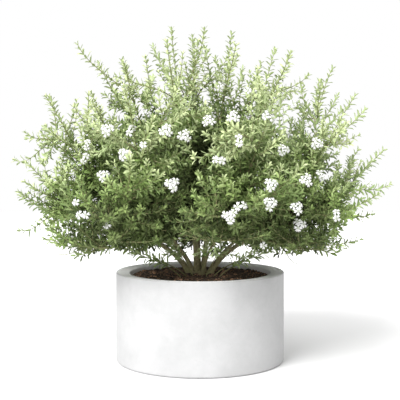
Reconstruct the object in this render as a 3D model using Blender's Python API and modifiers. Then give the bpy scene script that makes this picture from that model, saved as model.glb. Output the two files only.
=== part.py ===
"""Coast rosemary (Westringia fruticosa) growing in a low round concrete planter.

Units are metres and +Z is up. The origin is the middle of the planter's underside.
The shrub is wood that forks upwards from a root crown: stems, then leafy branches with
whorls of four narrow leaves, and small five-lobed flowers near the shoot tips.
"""

import math
import random

import bmesh
import bpy
from mathutils import Matrix, Quaternion, Vector
from mathutils.geometry import interpolate_bezier

OBJECT_NAME = "potted_coast_rosemary"
SEED = 23
GAP = 0.0003
MERGE = 0.00001

# Planter
POT_DIAMETER = 0.400
POT_HEIGHT = 0.212
WALL_THICKNESS = 0.033
FLOOR_THICKNESS = 0.030
RIM_FALL = 0.0025
RIM_ROUNDING = 0.0035
FOOT_ROUNDING = 0.005
DRAIN_HOLE_DIAMETER = 0.030
POT_STEPS = 48
ROUNDING_STEPS = 2

# Potting mix
SOIL_BELOW_RIM = 0.013
SOIL_MOUND = 0.006
SOIL_RINGS = 4

# Root crown: the woody collar at the soil line and the roots below it
COLLAR_DIAMETER = 0.072
COLLAR_STAND = 0.004
COLLAR_DEPTH = 0.055
COLLAR_SIDES = 10
COLLAR_WAIST_DIAMETER = 0.058
COLLAR_FOOT_DIAMETER = 0.032
ROOT_DIAMETER = 0.014
ROOT_REACH = 0.115
ROOT_DIP = 0.045
ROOT_STAGES = ((0.45, 1.0), (0.75, 0.75), (1.0, 0.5))
SOCKET_RISE = 0.020

# Outline of the shrub, with its heights measured from the planter's rim
SHRUB_WIDTH = 0.900
SHRUB_DEPTH = 0.860
CROWN_TOP = 0.595
CROWN_WAIST = 0.228
CROWN_UNDERSIDE = 0.012
FRONT_LIFT = 0.080
UNDERSIDE_FULLNESS = 0.6
SHOOT_UPTURN = 0.25
CURVE_STEPS = 48

# Stems: azimuth in degrees and diameter at the root crown
OUTER_STEMS = ((27, 0.0090), (78, 0.0110), (130, 0.0095), (181, 0.0125),
               (233, 0.0085), (284, 0.0080), (336, 0.0125))
INNER_STEMS = ((207, 0.0130), (2, 0.0115), (104, 0.0095))
COLLAR_MARGIN = 0.0022
STEM_SPACING = 0.0015
# Branches of a stem: azimuth from the stem's own, and level on the outline, in degrees
OUTER_BRANCHES = ((2, -2), (-10, -38), (12, 33))
INNER_BRANCHES = ((0, 80), (-40, 54), (45, 58))
FORK_SHARES = (0.26, 0.37)
STEM_SHARE = 0.50
ARM_SHARE = 0.34
STEM_TAPER = 0.55
STEM_UPRIGHTNESS = 1.1
STEM_SIDES = 6
STEM_SEGMENT = 0.030
ARM_THICKNESS = 0.68
ARM_TAPER = 0.30
LEAST_SPREAD = 0.3

# Leafy branches
TWIG_DIAMETER = 0.0040
TWIG_SIDES = 4
TWIG_SEGMENT = 0.040
WHORL_SPACING = 0.024
WHORL_THICKNESS = 0.9
LEADER_WHORLS = 5
SIDE_WHORLS = 4
SIDE_SHOOT_SHARES = (0.22, 0.42)
SIDE_SHOOT_FANS = ((15, 12), (-16, -9))
SIDE_SHOOT_THICKNESS = 0.9
HIGHEST_LEVEL = 88

# Leaves
LEAF_LENGTH = 0.021
LEAF_BASE = 0.0050
LEAF_ANGLE = 52
TIP_LEAF_ANGLE = 30
LEAF_CLEARANCE = 0.0012
ROOM_CELL = 0.012
ROOM_STEP = 0.0025

# Flowers
FLOWER_COUNT = 12
FLOWER_DIAMETER = 0.021
FLOWER_TUBE = 0.006
FLOWER_TUBE_DIAMETER = 0.0030
THROAT_DIAMETER = 0.0052
PETAL_THICKNESS = 0.0012
PETAL_WIDTH = 0.0052
FLOWER_TILT = 55
FLOWER_SPOKES = 10

# Colour, roughness and metallic value of each material
CONCRETE = ((0.80, 0.80, 0.79), 0.78, 0.0)
SOIL = ((0.045, 0.028, 0.017), 0.95, 0.0)
ROOT_BARK = ((0.16, 0.11, 0.065), 0.88, 0.0)
STEM_BARK = ((0.20, 0.17, 0.095), 0.80, 0.0)
LEAF = ((0.16, 0.25, 0.075), 0.60, 0.0)
PETAL = ((0.88, 0.88, 0.86), 0.65, 0.0)

UP = Vector((0.0, 0.0, 1.0))
FRONT = Vector((0.0, -1.0, 0.0))


# ---------------------------------------------------------------- scene and materials

def clear_scene():
    """Remove whatever the scene starts with."""
    for item in list(bpy.data.objects):
        bpy.data.objects.remove(item, do_unlink=True)


def new_collection(name):
    """A collection linked under the scene."""
    collection = bpy.data.collections.new(name)
    bpy.context.scene.collection.children.link(collection)
    return collection


def principled(name, finish):
    """A Principled material from a colour, a roughness and a metallic value."""
    colour, roughness, metallic = finish
    material = bpy.data.materials.new(name)
    material.use_nodes = True
    shader = material.node_tree.nodes["Principled BSDF"]
    shader.inputs["Base Color"].default_value = (*colour, 1.0)
    shader.inputs["Roughness"].default_value = roughness
    shader.inputs["Metallic"].default_value = metallic
    material.diffuse_color = (*colour, 1.0)
    return material


def add_object(name, mesh, collection, finish):
    """An object with a material of its own in the collection."""
    item = bpy.data.objects.new(name, mesh)
    collection.objects.link(item)
    mesh.materials.append(principled(name + "_finish", finish))
    return item


def mesh_from(bm, name):
    """Turn a finished bmesh into a mesh, with its normals facing out."""
    bmesh.ops.recalc_face_normals(bm, faces=bm.faces[:])
    bmesh.ops.triangulate(bm, faces=bm.faces[:])
    mesh = bpy.data.meshes.new(name)
    bm.to_mesh(mesh)
    bm.free()
    return mesh


# ---------------------------------------------------------------- turned pieces

def arc(centre, radius, start, end):
    """Profile points (r, z) round a corner, from one angle in degrees to another."""
    points = []
    for step in range(ROUNDING_STEPS + 1):
        angle = math.radians(start + (end - start) * step / ROUNDING_STEPS)
        points.append((centre[0] + radius * math.cos(angle), centre[1] + radius * math.sin(angle)))
    return points


def turned(name, profile, closed, steps, collection, finish):
    """A profile of (r, z) points turned about the Z axis with a Screw modifier."""
    bm = bmesh.new()
    verts = [bm.verts.new((radius, 0.0, height)) for radius, height in profile]
    for first, second in zip(verts, verts[1:]):
        bm.edges.new((first, second))
    if closed:
        bm.edges.new((verts[-1], verts[0]))
    mesh = bpy.data.meshes.new(name)
    bm.to_mesh(mesh)
    bm.free()
    item = add_object(name, mesh, collection, finish)
    screw = item.modifiers.new("turn", "SCREW")
    screw.axis = "Z"
    screw.angle = math.tau
    screw.steps = steps
    screw.render_steps = steps
    screw.use_merge_vertices = True
    screw.merge_threshold = MERGE
    screw.use_smooth_shade = True
    return item


def build_pot(collection):
    """Straight-sided planter with a broad rim and a drain hole through its floor."""
    outer = POT_DIAMETER / 2
    inner = outer - WALL_THICKNESS
    hole = DRAIN_HOLE_DIAMETER / 2
    rim_inner_height = POT_HEIGHT - RIM_FALL
    profile = arc((inner + RIM_ROUNDING, rim_inner_height - RIM_ROUNDING), RIM_ROUNDING, 180, 90)
    profile += arc((outer - RIM_ROUNDING, POT_HEIGHT - RIM_ROUNDING), RIM_ROUNDING, 90, 0)
    profile += arc((outer - FOOT_ROUNDING, FOOT_ROUNDING), FOOT_ROUNDING, 0, -90)
    profile.append((hole, 0.0))
    profile.append((hole, FLOOR_THICKNESS))
    profile.append((inner, FLOOR_THICKNESS))
    return turned("pot", profile, True, POT_STEPS, collection, CONCRETE)


def soil_height(radius):
    """Height of the potting mix at a distance from the axis: a low mound."""
    share = radius / (POT_DIAMETER / 2 - WALL_THICKNESS)
    edge = POT_HEIGHT - SOIL_BELOW_RIM
    return edge + SOIL_MOUND * math.cos(share * math.pi / 2) ** 2


def build_soil(collection, cutters):
    """Potting mix that fills the planter round the roots."""
    radius = POT_DIAMETER / 2 - WALL_THICKNESS - GAP / math.cos(math.pi / POT_STEPS)
    reaches = [radius * ring / SOIL_RINGS for ring in range(SOIL_RINGS + 1)]
    profile = [(reach, soil_height(reach)) for reach in reaches]
    profile.append((radius, FLOOR_THICKNESS + GAP))
    profile.append((0.0, FLOOR_THICKNESS + GAP))
    soil = turned("potting_mix", profile, False, POT_STEPS, collection, SOIL)
    room = bpy.data.objects.new("root_room", root_crown_mesh("root_room", GAP, SOCKET_RISE))
    room.display_type = "WIRE"
    room.hide_render = True
    cutters.objects.link(room)
    cut = soil.modifiers.new("root_room", "BOOLEAN")
    cut.operation = "DIFFERENCE"
    cut.solver = "EXACT"
    cut.object = room
    return soil


# ---------------------------------------------------------------- growing by extrusion

def bent_curve(start, leave, end, arrive):
    """Points on a smooth curve between two places, with its directions at both ends."""
    reach = (end - start).length / 3
    return interpolate_bezier(start, start + leave * reach, end - arrive * reach, end, CURVE_STEPS)


def halfway(curve):
    """The middle point of a curve."""
    return curve[len(curve) // 2]


def curve_length(curve):
    """Length of a run of points."""
    return sum((second - first).length for first, second in zip(curve, curve[1:]))


def along(curve, distance):
    """Position and direction at a distance along a run of points."""
    left = distance
    for first, second in zip(curve, curve[1:]):
        step = (second - first).length
        if left <= step:
            return first.lerp(second, left / step), (second - first).normalized()
        left -= step
    return curve[-1].copy(), (curve[-1] - curve[-2]).normalized()


def start_stalk(bm, base, direction, length, radius, end_radius, sides):
    """A closed frustum; gives its end face, from which the stalk is drawn on."""
    turn = direction.to_track_quat("Z", "Y").to_matrix().to_4x4()
    place = Matrix.Translation(base + direction * (length / 2)) @ turn
    made = bmesh.ops.create_cone(bm, cap_ends=True, segments=sides, radius1=radius,
                                 radius2=end_radius, depth=length, matrix=place)
    bm.normal_update()
    faces = {face for vert in made["verts"] for face in vert.link_faces}
    return max(faces, key=lambda face: face.normal.dot(direction))


def ring_turn(offsets, across, upward):
    """Angle of the first corner of a regular ring that matches the given offsets best."""
    share = math.tau / len(offsets)
    total = Vector((0.0, 0.0))
    for number, offset in enumerate(offsets):
        angle = math.atan2(offset.dot(upward), offset.dot(across)) - number * share
        total += Vector((math.cos(angle), math.sin(angle)))
    return math.atan2(total.y, total.x)


def draw_on(bm, face, centre, direction, radius, twist=0.0):
    """Extrude an end face to a new regular ring that faces along the direction."""
    old_centre = face.calc_center_median()
    turn = face.normal.rotation_difference(direction)
    end = bmesh.ops.extrude_discrete_faces(bm, faces=[face])["faces"][0]
    across = direction.orthogonal().normalized()
    upward = direction.cross(across)
    corners = end.verts[:]
    first = ring_turn([turn @ (vert.co - old_centre) for vert in corners], across, upward) + twist
    for number, vert in enumerate(corners):
        angle = first + math.tau * number / len(corners)
        vert.co = centre + (across * math.cos(angle) + upward * math.sin(angle)) * radius
    bm.normal_update()
    return end


def side_faces(end):
    """The faces round the last ring, below an end face."""
    return [face for edge in end.edges for face in edge.link_faces if face is not end]


def facing(faces, direction):
    """The face that looks most along the direction, of those not yet drawn out."""
    whole = [face for face in faces if face.is_valid]
    return max(whole, key=lambda face: face.normal.dot(direction))


# ---------------------------------------------------------------- root crown

def root_crown_mesh(name, spare, raise_top):
    """The woody collar and its roots, larger all round by the spare distance."""
    top = soil_height(0.0) + COLLAR_STAND + raise_top
    middle = soil_height(0.0) - COLLAR_DEPTH / 2
    bottom = soil_height(0.0) - COLLAR_DEPTH - spare
    grown = spare / math.cos(math.pi / COLLAR_SIDES)
    radius = COLLAR_DIAMETER / 2 + grown
    bm = bmesh.new()
    waist = COLLAR_WAIST_DIAMETER / 2 + grown
    foot = COLLAR_FOOT_DIAMETER / 2 + grown
    shoulder = soil_height(0.0) - COLLAR_STAND
    end = start_stalk(bm, Vector((0, 0, top)), -UP, top - shoulder, radius, radius, COLLAR_SIDES)
    end = draw_on(bm, end, Vector((0, 0, middle)), -UP, waist)
    end = draw_on(bm, end, Vector((0, 0, bottom)), -UP, foot)
    sides = side_faces(end)
    for side in sides[::2]:
        grow_root(bm, side, spare)
    return mesh_from(bm, name)


def grow_root(bm, side, spare):
    """One root drawn out of the collar's side, outwards and down."""
    start = side.calc_center_median()
    outward = Vector((start.x, start.y, 0.0)).normalized()
    dip = Vector((0.0, 0.0, -ROOT_DIP))
    grown = spare / math.cos(math.pi / 4)
    face = side
    for share, thickness in ROOT_STAGES:
        centre = outward * (ROOT_REACH * share) + UP * start.z + dip * share ** 2
        slope = (outward * ROOT_REACH + dip * 2 * share).normalized()
        if share == 1.0:
            centre += slope * spare
        face = draw_on(bm, face, centre, slope, ROOT_DIAMETER / 2 * thickness + grown)


def build_root_crown(collection):
    """Root crown that the stems stand on."""
    return add_object("root_crown", root_crown_mesh("root_crown", 0.0, 0.0), collection, ROOT_BARK)


# ---------------------------------------------------------------- room to grow

class Room:
    """Remembers where wood, flowers and leaves are, so that nothing grows through them."""

    def __init__(self, cell):
        self.cell = cell
        self.taken = {}

    def key(self, point):
        """The cell that holds a point."""
        return tuple(math.floor(value / self.cell) for value in point)

    def samples(self, start, end):
        """Evenly spaced points from start to end."""
        count = max(1, math.ceil((end - start).length / ROOM_STEP))
        return [start.lerp(end, step / count) for step in range(count + 1)]

    def take(self, start, end, radius):
        """Mark a straight piece as taken."""
        for point in self.samples(start, end):
            self.taken.setdefault(self.key(point), []).append((point, radius))

    def is_free(self, start, end, radius):
        """Whether a straight piece stays clear of all that is taken."""
        for point in self.samples(start, end):
            x, y, z = self.key(point)
            for dx in (-1, 0, 1):
                for dy in (-1, 0, 1):
                    for dz in (-1, 0, 1):
                        for other, reach in self.taken.get((x + dx, y + dy, z + dz), ()):
                            if (other - point).length < reach + radius + LEAF_CLEARANCE:
                                return False
        return True


class Plot:
    """What the shrub grows by: seeded chance, and the room left by wood, leaves and flowers."""

    def __init__(self, seed):
        self.chance = random.Random(seed)
        self.wood = Room(ROOM_CELL)
        self.blooms = Room(ROOM_CELL)


# ---------------------------------------------------------------- layout of the shrub

def outline_point(azimuth, level):
    """A place on the shrub's outline, from an azimuth and a level in degrees."""
    turn = math.radians(azimuth)
    tilt = math.radians(level)
    front = max(0.0, -math.sin(turn)) ** 2
    if level >= 0:
        across = math.cos(tilt)
        height = CROWN_WAIST + (CROWN_TOP - CROWN_WAIST) * math.sin(tilt)
    else:
        across = math.cos(tilt) ** UNDERSIDE_FULLNESS
        floor = CROWN_UNDERSIDE + FRONT_LIFT * front
        height = CROWN_WAIST - (CROWN_WAIST - floor) * math.sin(-tilt) ** UNDERSIDE_FULLNESS
    x = SHRUB_WIDTH / 2 * across * math.cos(turn)
    y = SHRUB_DEPTH / 2 * across * math.sin(turn)
    return Vector((x, y, POT_HEIGHT + height))


def shoot_end(azimuth, level):
    """Where a shoot's wood stops, so that its last leaves end on the outline."""
    tip = outline_point(azimuth, level)
    heart = Vector((0.0, 0.0, POT_HEIGHT))
    outward = (tip - heart).normalized()
    return tip - outward * (LEAF_LENGTH * math.cos(math.radians(TIP_LEAF_ANGLE)) + LEAF_BASE)


def shoot_rise(tip):
    """Direction of a shoot at its end: outwards from the root crown, turned up a little."""
    heart = Vector((0.0, 0.0, POT_HEIGHT))
    return ((tip - heart).normalized() + UP * SHOOT_UPTURN).normalized()


def outer_ring():
    """Radius of the ring of outer stems, which stand just inside the collar's edge."""
    thickest = max(diameter for azimuth, diameter in OUTER_STEMS)
    return COLLAR_DIAMETER / 2 - COLLAR_MARGIN - thickest / 2


def inner_ring():
    """Radius of the ring of inner stems, which stand close together on the collar."""
    thickest = max(diameter for azimuth, diameter in INNER_STEMS)
    return (thickest + STEM_SPACING) / 2 / math.sin(math.pi / len(INNER_STEMS))


def plan_stem(azimuth, diameter, ring_radius, branches):
    """Curves of one stem: its own and one for each arm, with the radii where they fork."""
    turn = math.radians(azimuth)
    foot = Vector((math.cos(turn), math.sin(turn), 0.0)) * ring_radius
    foot.z = soil_height(0.0) + COLLAR_STAND + GAP
    targets = [shoot_end(azimuth + offset, level) for offset, level in branches]
    lean = ((targets[0] - foot).normalized() + UP * STEM_UPRIGHTNESS).normalized()
    trunk = bent_curve(foot, lean, targets[0], shoot_rise(targets[0]))
    length = curve_length(trunk)
    arms = []
    for share, target in zip(FORK_SHARES, targets[1:]):
        fork, heading = along(trunk, length * share)
        leave = ((target - fork).normalized() * 1.2 + heading).normalized()
        arms.append((share, bent_curve(fork, leave, target, shoot_rise(target))))
    return {"azimuth": azimuth, "radius": diameter / 2, "trunk": trunk, "arms": arms,
            "branches": branches}


def stem_radius(plan, share):
    """Radius of a stem at a share of its length."""
    return plan["radius"] * (1.0 - STEM_TAPER * share / STEM_SHARE)


# ---------------------------------------------------------------- stems

def part_way(heading, away):
    """How an offshoot leaves: its direction across the heading, and how far it spreads."""
    across = away - heading * away.dot(heading)
    return across, max(LEAST_SPREAD, across.length)


def stem_mesh(plan, name, plot):
    """One stem with its arms drawn out of its sides; gives where its branches start."""
    bm = bmesh.new()
    trunk = plan["trunk"]
    length = curve_length(trunk)
    stop = length * STEM_SHARE
    count = round(stop / STEM_SEGMENT)
    foot_length = COLLAR_STAND * 2
    foot_radius = stem_radius(plan, 0)
    end = start_stalk(bm, trunk[0], UP, foot_length, foot_radius, foot_radius, STEM_SIDES)
    forks = {round(share * length / stop * count): arm for share, arm in plan["arms"]}
    arms = []
    past = trunk[0] + UP * foot_length
    for step in range(1, count + 1):
        distance = stop * step / count
        centre, heading = along(trunk, distance)
        radius = stem_radius(plan, distance / length)
        end = draw_on(bm, end, centre, heading, radius)
        plot.wood.take(past, centre, radius)
        past = centre
        if step in forks:
            across = part_way(heading, (halfway(forks[step]) - centre).normalized())[0]
            arms.append((facing(side_faces(end), across), forks[step], radius, heading))
    tips = [(trunk, stop, stem_radius(plan, STEM_SHARE))]
    for side, arm, radius, heading in arms:
        tips.append(grow_arm(bm, side, arm, radius, heading, plot))
    return mesh_from(bm, name), tips


def grow_arm(bm, side, arm, trunk_radius, heading, plot):
    """One arm of a stem, drawn out of a side face and along its curve."""
    radius = trunk_radius * ARM_THICKNESS
    stop = curve_length(arm) * ARM_SHARE
    spread = part_way(heading, (arm[CURVE_STEPS // 3] - arm[0]).normalized())[1]
    first = (trunk_radius + radius + LEAF_CLEARANCE) / spread
    count = max(1, round((stop - first) / STEM_SEGMENT))
    face = side
    past = side.calc_center_median()
    for step in range(count + 1):
        centre, direction = along(arm, first + (stop - first) * step / count)
        face = draw_on(bm, face, centre, direction, radius * (1.0 - ARM_TAPER * step / count))
        plot.wood.take(past, centre, radius)
        past = centre
    return arm, stop, radius * (1.0 - ARM_TAPER)


# ---------------------------------------------------------------- leafy branches

def draw_leaf(bm, side, direction, angle, length, plot):
    """Draw a side face out into one narrow leaf, where it has room."""
    outward = (side.normal - direction * side.normal.dot(direction)).normalized()
    aim = outward * math.sin(angle) + direction * math.cos(angle)
    base = side.calc_center_median()
    tip = base + aim * length
    half_width = TWIG_DIAMETER / 4
    clear = base + aim * (TWIG_DIAMETER + 2 * LEAF_CLEARANCE)
    if plot.wood.is_free(clear, tip, half_width) and plot.blooms.is_free(base, tip, half_width):
        made = bmesh.ops.poke(bm, faces=[side])
        made["verts"][0].co = tip
        plot.wood.take(clear, tip, half_width)


def grow_whorl(bm, face, direction, radius, angle, plot):
    """A short ring whose four sides are drawn out into leaves."""
    centre = face.calc_center_median() + direction * LEAF_BASE
    end = draw_on(bm, face, centre, direction, radius)
    for side in side_faces(end):
        length = LEAF_LENGTH * plot.chance.uniform(0.85, 1.0)
        draw_leaf(bm, side, direction, angle * plot.chance.uniform(0.85, 1.1), length, plot)
    return end


def whorl_places(length, count):
    """Distances of the whorls along a shoot, up to its end."""
    last = length - LEAF_BASE
    return [last - WHORL_SPACING * step for step in range(count - 1, -1, -1)]


def bare_places(start, curve, whorls):
    """Distances of the rings of the bare wood below a shoot's first whorl."""
    bare = max(TWIG_DIAMETER, whorl_places(curve_length(curve), whorls)[0] - start)
    count = max(1, round(bare / TWIG_SEGMENT))
    return [start + bare * step / count for step in range(1, count + 1)]


def grow_bare(bm, face, curve, places, radius):
    """Draw a twig on along its curve without leaves; gives its end and the sides of each ring."""
    sides = []
    for place in places:
        centre, direction = along(curve, place)
        face = draw_on(bm, face, centre, direction, radius)
        sides.append(side_faces(face))
    return face, sides


def grow_leafy(bm, face, curve, whorls, radius, plot):
    """Draw a twig on through its whorls of leaves, to a bud at its end."""
    length = curve_length(curve)
    for number, place in enumerate(whorl_places(length, whorls)):
        centre, direction = along(curve, place)
        if number > 0:
            face = draw_on(bm, face, centre, direction, radius, math.pi / 4)
        late = number / (whorls - 1)
        angle = math.radians(LEAF_ANGLE + (TIP_LEAF_ANGLE - LEAF_ANGLE) * late ** 3)
        face = grow_whorl(bm, face, direction, radius, angle, plot)
    bud = bmesh.ops.poke(bm, faces=[face])["verts"][0]
    bud.co += along(curve, length)[1] * LEAF_BASE


def plan_branch(azimuth, level, tip, plot):
    """Curves of one leafy branch: its leader and its side shoots."""
    curve, start, radius = tip
    length = curve_length(curve)
    sides = []
    for share, (swing, climb) in zip(SIDE_SHOOT_SHARES, SIDE_SHOOT_FANS):
        fork, heading = along(curve, start + (length - start) * share)
        spread = swing / max(LEAST_SPREAD, math.cos(math.radians(level)))
        rise = min(HIGHEST_LEVEL, level + climb * plot.chance.uniform(0.8, 1.2))
        end = shoot_end(azimuth + spread, rise)
        leave = ((end - fork).normalized() * 1.4 + heading).normalized()
        sides.append((share, bent_curve(fork, leave, end, shoot_rise(end))))
    return {"curve": curve, "start": start, "radius": radius, "sides": sides}


def take_curve(curve, start, radius, room):
    """Mark the wood of a curve as taken, from a distance along it."""
    length = curve_length(curve)
    steps = math.ceil((length - start) / ROOM_CELL)
    places = [along(curve, start + (length - start) * step / steps)[0] for step in range(steps + 1)]
    for first, second in zip(places, places[1:]):
        room.take(first, second, radius)


def branch_mesh(plan, name, plot):
    """One leafy branch: a leader with side shoots drawn out of its sides."""
    bm = bmesh.new()
    curve = plan["curve"]
    radius = TWIG_DIAMETER / 2
    base, heading = along(curve, plan["start"])
    base += heading * GAP
    face = start_stalk(bm, base, heading, TWIG_DIAMETER, plan["radius"], radius, TWIG_SIDES)
    start = plan["start"] + GAP + TWIG_DIAMETER
    places = bare_places(start, curve, LEADER_WHORLS)
    face, sides = grow_bare(bm, face, curve, places, radius)
    grow_leafy(bm, face, curve, LEADER_WHORLS, radius * WHORL_THICKNESS, plot)
    reach = curve_length(curve) - plan["start"]
    for share, side_curve in plan["sides"]:
        step = min(len(places), max(1, round(reach * share / (places[-1] - start) * len(places)))) - 1
        grow_side_shoot(bm, sides[step], side_curve, along(curve, places[step])[1], plot)
    return mesh_from(bm, name)


def grow_side_shoot(bm, faces, curve, heading, plot):
    """A side shoot that leaves the leader through one of its side faces."""
    across, spread = part_way(heading, (halfway(curve) - curve[0]).normalized())
    radius = TWIG_DIAMETER / 2 * SIDE_SHOOT_THICKNESS
    start = TWIG_DIAMETER * 1.3 / spread
    centre, direction = along(curve, start)
    face = draw_on(bm, facing(faces, across), centre, direction, radius)
    places = bare_places(start, curve, SIDE_WHORLS)
    face = grow_bare(bm, face, curve, places, radius)[0]
    grow_leafy(bm, face, curve, SIDE_WHORLS, radius * WHORL_THICKNESS, plot)


# ---------------------------------------------------------------- flowers

def flower_mesh(name, base, aim):
    """One flower: a short tube that opens into five lobes."""
    bm = bmesh.new()
    throat = base + aim * (FLOWER_TUBE + PETAL_THICKNESS)
    end = start_stalk(bm, base, aim, FLOWER_TUBE, FLOWER_TUBE_DIAMETER / 2, THROAT_DIAMETER / 2, 5)
    end = draw_on(bm, end, throat, aim, THROAT_DIAMETER / 2)
    for side in side_faces(end):
        grow_petal(bm, side, aim)
    return mesh_from(bm, name)


def grow_petal(bm, side, aim):
    """Draw a side of the throat out into one lobe that widens to its end."""
    start = side.calc_center_median()
    outward = (side.normal - aim * side.normal.dot(aim)).normalized()
    across = aim.cross(outward)
    reach = FLOWER_DIAMETER / 2 - THROAT_DIAMETER / 2 * math.cos(math.pi / 5)
    end = bmesh.ops.extrude_discrete_faces(bm, faces=[side])["faces"][0]
    for vert in end.verts:
        offset = vert.co - start
        wide = math.copysign(PETAL_WIDTH / 2, offset.dot(across))
        thick = offset.dot(aim) * 0.7
        vert.co = start + outward * reach + across * wide + aim * thick


def flower_side(place, heading):
    """Direction across a shoot in which its flower stands: up, outwards and to the front."""
    heart = Vector((0.0, 0.0, POT_HEIGHT))
    outward = (place - heart).normalized().cross(heading) * 3 + UP * 0.5 + FRONT * 0.8
    return (outward - heading * outward.dot(heading)).normalized()


def plan_flowers(plans, plot):
    """Places and directions of the flowers, each in the fork of an upper leaf."""
    flowers = []
    order = list(range(len(plans)))
    plot.chance.shuffle(order)
    tilt = math.radians(FLOWER_TILT)
    lift = TWIG_DIAMETER / 2 + GAP + FLOWER_TUBE_DIAMETER / 2 * math.cos(tilt)
    for index in order[:FLOWER_COUNT]:
        curve = plans[index]["curve"]
        place, heading = along(curve, curve_length(curve) - WHORL_SPACING * 1.5)
        outward = flower_side(place, heading)
        aim = outward * math.sin(tilt) + heading * math.cos(tilt)
        base = place + outward * lift
        mark_flower(base, base + aim * (FLOWER_TUBE + PETAL_THICKNESS / 2), aim, plot.blooms)
        flowers.append((base, aim))
    return flowers


def mark_flower(base, crown, aim, blooms):
    """Mark the tube and the ring of lobes of a flower as taken."""
    blooms.take(base, crown, FLOWER_TUBE_DIAMETER / 2)
    side = aim.orthogonal().normalized() * (FLOWER_DIAMETER / 2)
    for spoke in range(FLOWER_SPOKES):
        arm = Quaternion(aim, math.tau * spoke / FLOWER_SPOKES) @ side
        blooms.take(crown, crown + arm, PETAL_THICKNESS)


# ---------------------------------------------------------------- the whole plant

def plan_stems():
    """Plans of the outer and the inner stems."""
    rings = ((OUTER_STEMS, outer_ring(), OUTER_BRANCHES), (INNER_STEMS, inner_ring(), INNER_BRANCHES))
    plans = []
    for stems, ring, branches in rings:
        for azimuth, diameter in stems:
            plans.append(plan_stem(azimuth, diameter, ring, branches))
    return plans


def build_stems(collection, plot):
    """The stems; gives the plans of the leafy branches that go on from them."""
    branches = []
    for number, plan in enumerate(plan_stems(), start=1):
        name = f"stem_{number:02d}"
        mesh, tips = stem_mesh(plan, name, plot)
        add_object(name, mesh, collection, STEM_BARK)
        for (offset, level), tip in zip(plan["branches"], tips):
            branches.append(plan_branch(plan["azimuth"] + offset, level, tip, plot))
    return branches


def build_shrub(collection):
    """Stems, leafy branches and flowers."""
    plot = Plot(SEED)
    branches = build_stems(collection, plot)
    for branch in branches:
        take_curve(branch["curve"], branch["start"], TWIG_DIAMETER / 2, plot.wood)
        for share, side_curve in branch["sides"]:
            take_curve(side_curve, TWIG_DIAMETER, TWIG_DIAMETER / 2, plot.wood)
    flowers = plan_flowers(branches, plot)
    for number, branch in enumerate(branches, start=1):
        name = f"leafy_branch_{number:02d}"
        add_object(name, branch_mesh(branch, name, plot), collection, LEAF)
    for number, (base, aim) in enumerate(flowers, start=1):
        name = f"flower_{number:02d}"
        add_object(name, flower_mesh(name, base, aim), collection, PETAL)


def main():
    """Build the planter and the plant."""
    clear_scene()
    parts = new_collection(OBJECT_NAME)
    cutters = new_collection("cutters")
    build_pot(parts)
    build_soil(parts, cutters)
    build_root_crown(parts)
    build_shrub(parts)


main()
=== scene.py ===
"""Visible surfaces of a potted coast rosemary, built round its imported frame.

Units are metres and +Z is up. The planter, the potting mix, the wood, the leaves and the
flowers are each made by an operator of their own; the panel in the sidebar lists them.
"""

import functools
import math
import random

import bmesh
import bpy
import numpy as np
from mathutils import Matrix, Quaternion, Vector, noise
from mathutils.geometry import interpolate_bezier


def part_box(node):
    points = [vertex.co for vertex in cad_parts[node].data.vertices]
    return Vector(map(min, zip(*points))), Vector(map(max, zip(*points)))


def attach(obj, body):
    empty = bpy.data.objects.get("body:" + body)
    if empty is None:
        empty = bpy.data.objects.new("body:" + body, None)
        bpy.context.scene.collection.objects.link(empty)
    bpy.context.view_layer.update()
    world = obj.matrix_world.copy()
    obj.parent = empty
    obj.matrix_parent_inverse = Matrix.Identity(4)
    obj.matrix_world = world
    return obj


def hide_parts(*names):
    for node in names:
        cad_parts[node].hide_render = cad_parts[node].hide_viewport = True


bl_info = {
    "name": "Potted Coast Rosemary",
    "version": (1, 0, 0),
    "blender": (4, 5, 0),
    "location": "View3D > Sidebar > Rosemary",
    "description": "Planter, potting mix, stems, whorled leaves and flowers of a coast rosemary",
    "category": "Object",
}

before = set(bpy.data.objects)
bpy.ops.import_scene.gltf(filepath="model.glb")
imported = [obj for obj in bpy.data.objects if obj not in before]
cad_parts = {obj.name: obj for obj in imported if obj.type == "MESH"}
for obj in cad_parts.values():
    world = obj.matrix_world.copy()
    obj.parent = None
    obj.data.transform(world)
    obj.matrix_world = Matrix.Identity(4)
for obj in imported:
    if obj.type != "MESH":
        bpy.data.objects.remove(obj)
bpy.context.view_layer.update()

# ---- what the frame gives

POT_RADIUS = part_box("pot")[1].x
POT_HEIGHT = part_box("pot")[1].z
SOIL_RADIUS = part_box("potting_mix")[1].x
SOIL_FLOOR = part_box("potting_mix")[0].z
COLLAR_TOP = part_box("root_crown")[1].z
GAP = 0.0003
UP = Vector((0.0, 0.0, 1.0))
HEART = Vector((0.0, 0.0, POT_HEIGHT))
SEED = 23

# ---- layout of the wood
# Azimuths and levels are in degrees; a level of 90 is the crown's top.

OUTER_STEMS = ((27, 0.0090), (78, 0.0110), (130, 0.0095), (181, 0.0125),
               (233, 0.0085), (284, 0.0080), (336, 0.0125))
INNER_STEMS = ((207, 0.0130), (2, 0.0115), (104, 0.0095))
COLLAR_DIAMETER = 0.072
COLLAR_MARGIN = 0.0022
STEM_SPACING = 0.0015
OUTER_BRANCHES = ((2, -2), (-10, -38), (12, 33))
INNER_BRANCHES = ((0, 80), (-40, 54), (45, 58))
FORK_SHARES = (0.26, 0.37)
STEM_SHARE = 0.50
ARM_SHARE = 0.34
SIDE_SHOOT_SHARES = (0.22, 0.42)
SIDE_SHOOT_FANS = ((15, 12), (-16, -9))
SHRUB_WIDTH = 0.900
SHRUB_DEPTH = 0.860
CROWN_TOP = 0.595
CROWN_WAIST = 0.228
CROWN_UNDERSIDE = 0.012
FRONT_LIFT = 0.080
UNDERSIDE_FULLNESS = 0.6
SHOOT_UPTURN = 0.25
LAST_LEAVES = 0.0232

# Shells of leaders between those of the frame: share of their number, least and most reach.

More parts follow.
